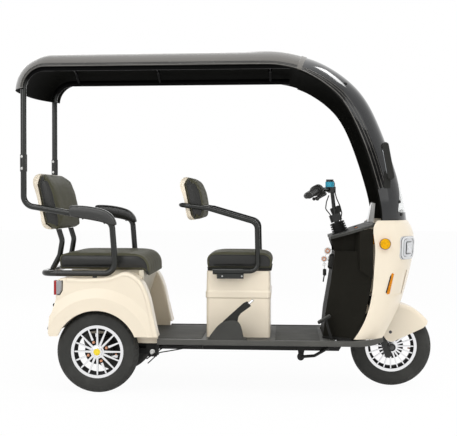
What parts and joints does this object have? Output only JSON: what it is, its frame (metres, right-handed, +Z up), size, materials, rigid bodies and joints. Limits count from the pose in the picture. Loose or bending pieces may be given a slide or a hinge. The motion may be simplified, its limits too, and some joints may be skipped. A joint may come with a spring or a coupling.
{
  "type": "electric auto rickshaw",
  "caption": "Electric passenger auto rickshaw with a canopy roof, curved screen, driver's seat, rear bench and spoked alloy wheels; it steers, rolls and its seats lift.",
  "frame": {"origin": "on the ground, under the middle of the vehicle's length and width", "axes": "+X forward, +Y to the vehicle's left, +Z up"},
  "size_m": [2.2516, 0.94, 1.8079],
  "materials": {
    "black_steel": "satin black paint",
    "deck_plastic": "moulded black plastic",
    "mat_rubber": "ribbed rubber",
    "sill_plastic": "dark grey moulded plastic",
    "cream_shell": "gloss cream paint on moulded plastic",
    "battery_case": "plain black case",
    "axle_cast": "painted casting",
    "shock_steel": "black coils, steel rods",
    "tube_paint": "semi-gloss black paint",
    "pad_rubber": "moulded foam rubber",
    "seat_leather": "olive-grey artificial leather, black sides",
    "roof_plastic": "gloss dark grey moulded plastic",
    "clear_screen": "clear sheet",
    "black_plastic": "textured black plastic",
    "grey_plastic": "textured grey plastic",
    "pod_plastic": "blue-green plastic",
    "silver_trim": "silver paint",
    "fork_paint": "semi-gloss black paint",
    "grip_rubber": "ribbed rubber",
    "boot_rubber": "folded rubber",
    "lamp_chrome": "bright reflector and clear lens",
    "amber_lens": "amber lens",
    "red_lens": "red and clear lens",
    "tyre": "black tread rubber",
    "rim_alloy": "machined face, black barrel"
  },
  "bodies": {
    "root": {"chassis_frame": "black_steel", "floor_board": "deck_plastic", "floor_mats": "mat_rubber", "side_sills": "sill_plastic", "rear_body": "cream_shell", "rear_inner_walls": "cream_shell", "seat_riser": "cream_shell", "battery_pack": "battery_case", "rear_axle": "axle_cast", "swing_arms": "black_steel", "rear_shocks": "shock_steel", "rear_arm_frame": "tube_paint", "rear_arm_pads": "pad_rubber", "rear_back_shell": "cream_shell", "rear_back_pad": "seat_leather", "canopy_frame": "tube_paint", "roof_shell": "roof_plastic", "front_frame": "roof_plastic", "windscreen": "clear_screen", "front_fascia": "cream_shell", "inner_shield": "black_plastic", "dash_panel": "grey_plastic", "dash_display": "silver_trim", "driver_seat_box": "cream_shell", "driver_arm_frame": "tube_paint", "driver_back_shell": "cream_shell", "driver_back_pad": "seat_leather", "handbrake_cover": "grey_plastic", "handbrake_lever": "black_plastic", "brake_pedal": "black_steel", "brake_linkage": "black_steel", "headlamps": "lamp_chrome", "signal_lamps": "amber_lens", "tail_lamps": "red_lens", "mirrors": "black_plastic"},
    "steering": {"front_fork": "fork_paint", "handlebar": "tube_paint", "handlebar_grips": "grip_rubber", "handlebar_controls": "black_plastic", "switch_pod": "pod_plastic", "front_fender": "cream_shell", "steering_bellows": "boot_rubber"},
    "front_wheel": {"front_tyre": "tyre", "front_rim": "rim_alloy"},
    "rear_left_wheel": {"rear_left_tyre": "tyre", "rear_left_rim": "rim_alloy"},
    "rear_right_wheel": {"rear_right_tyre": "tyre", "rear_right_rim": "rim_alloy"},
    "driver_seat_lid": {"driver_cushion": "seat_leather"},
    "bench_lid": {"rear_cushion": "seat_leather"}
  },
  "joints": [
    {"name": "steering_turn", "type": "hinge", "parent": "root", "child": "steering", "pos_m": [0.72871, 0, 0.56], "axis": [-0.3156, 0, 0.9489], "range_deg": [-35, 35]},
    {"name": "front_wheel_spin", "type": "hinge", "parent": "steering", "child": "front_wheel", "pos_m": [0.91, 0, 0.216], "axis": [0, 1, 0], "continuous": true},
    {"name": "rear_left_spin", "type": "hinge", "parent": "root", "child": "rear_left_wheel", "pos_m": [-0.642, 0.37, 0.216], "axis": [0, 1, 0], "continuous": true},
    {"name": "rear_right_spin", "type": "hinge", "parent": "root", "child": "rear_right_wheel", "pos_m": [-0.642, -0.37, 0.216], "axis": [0, 1, 0], "continuous": true},
    {"name": "driver_seat_lift", "type": "hinge", "parent": "root", "child": "driver_seat_lid", "pos_m": [0.266, 0, 0.636], "axis": [0, 1, 0], "range_deg": [0, 75]},
    {"name": "bench_seat_lift", "type": "hinge", "parent": "root", "child": "bench_lid", "pos_m": [-0.374, 0, 0.606], "axis": [0, 1, 0], "range_deg": [0, 60]}
  ]
}
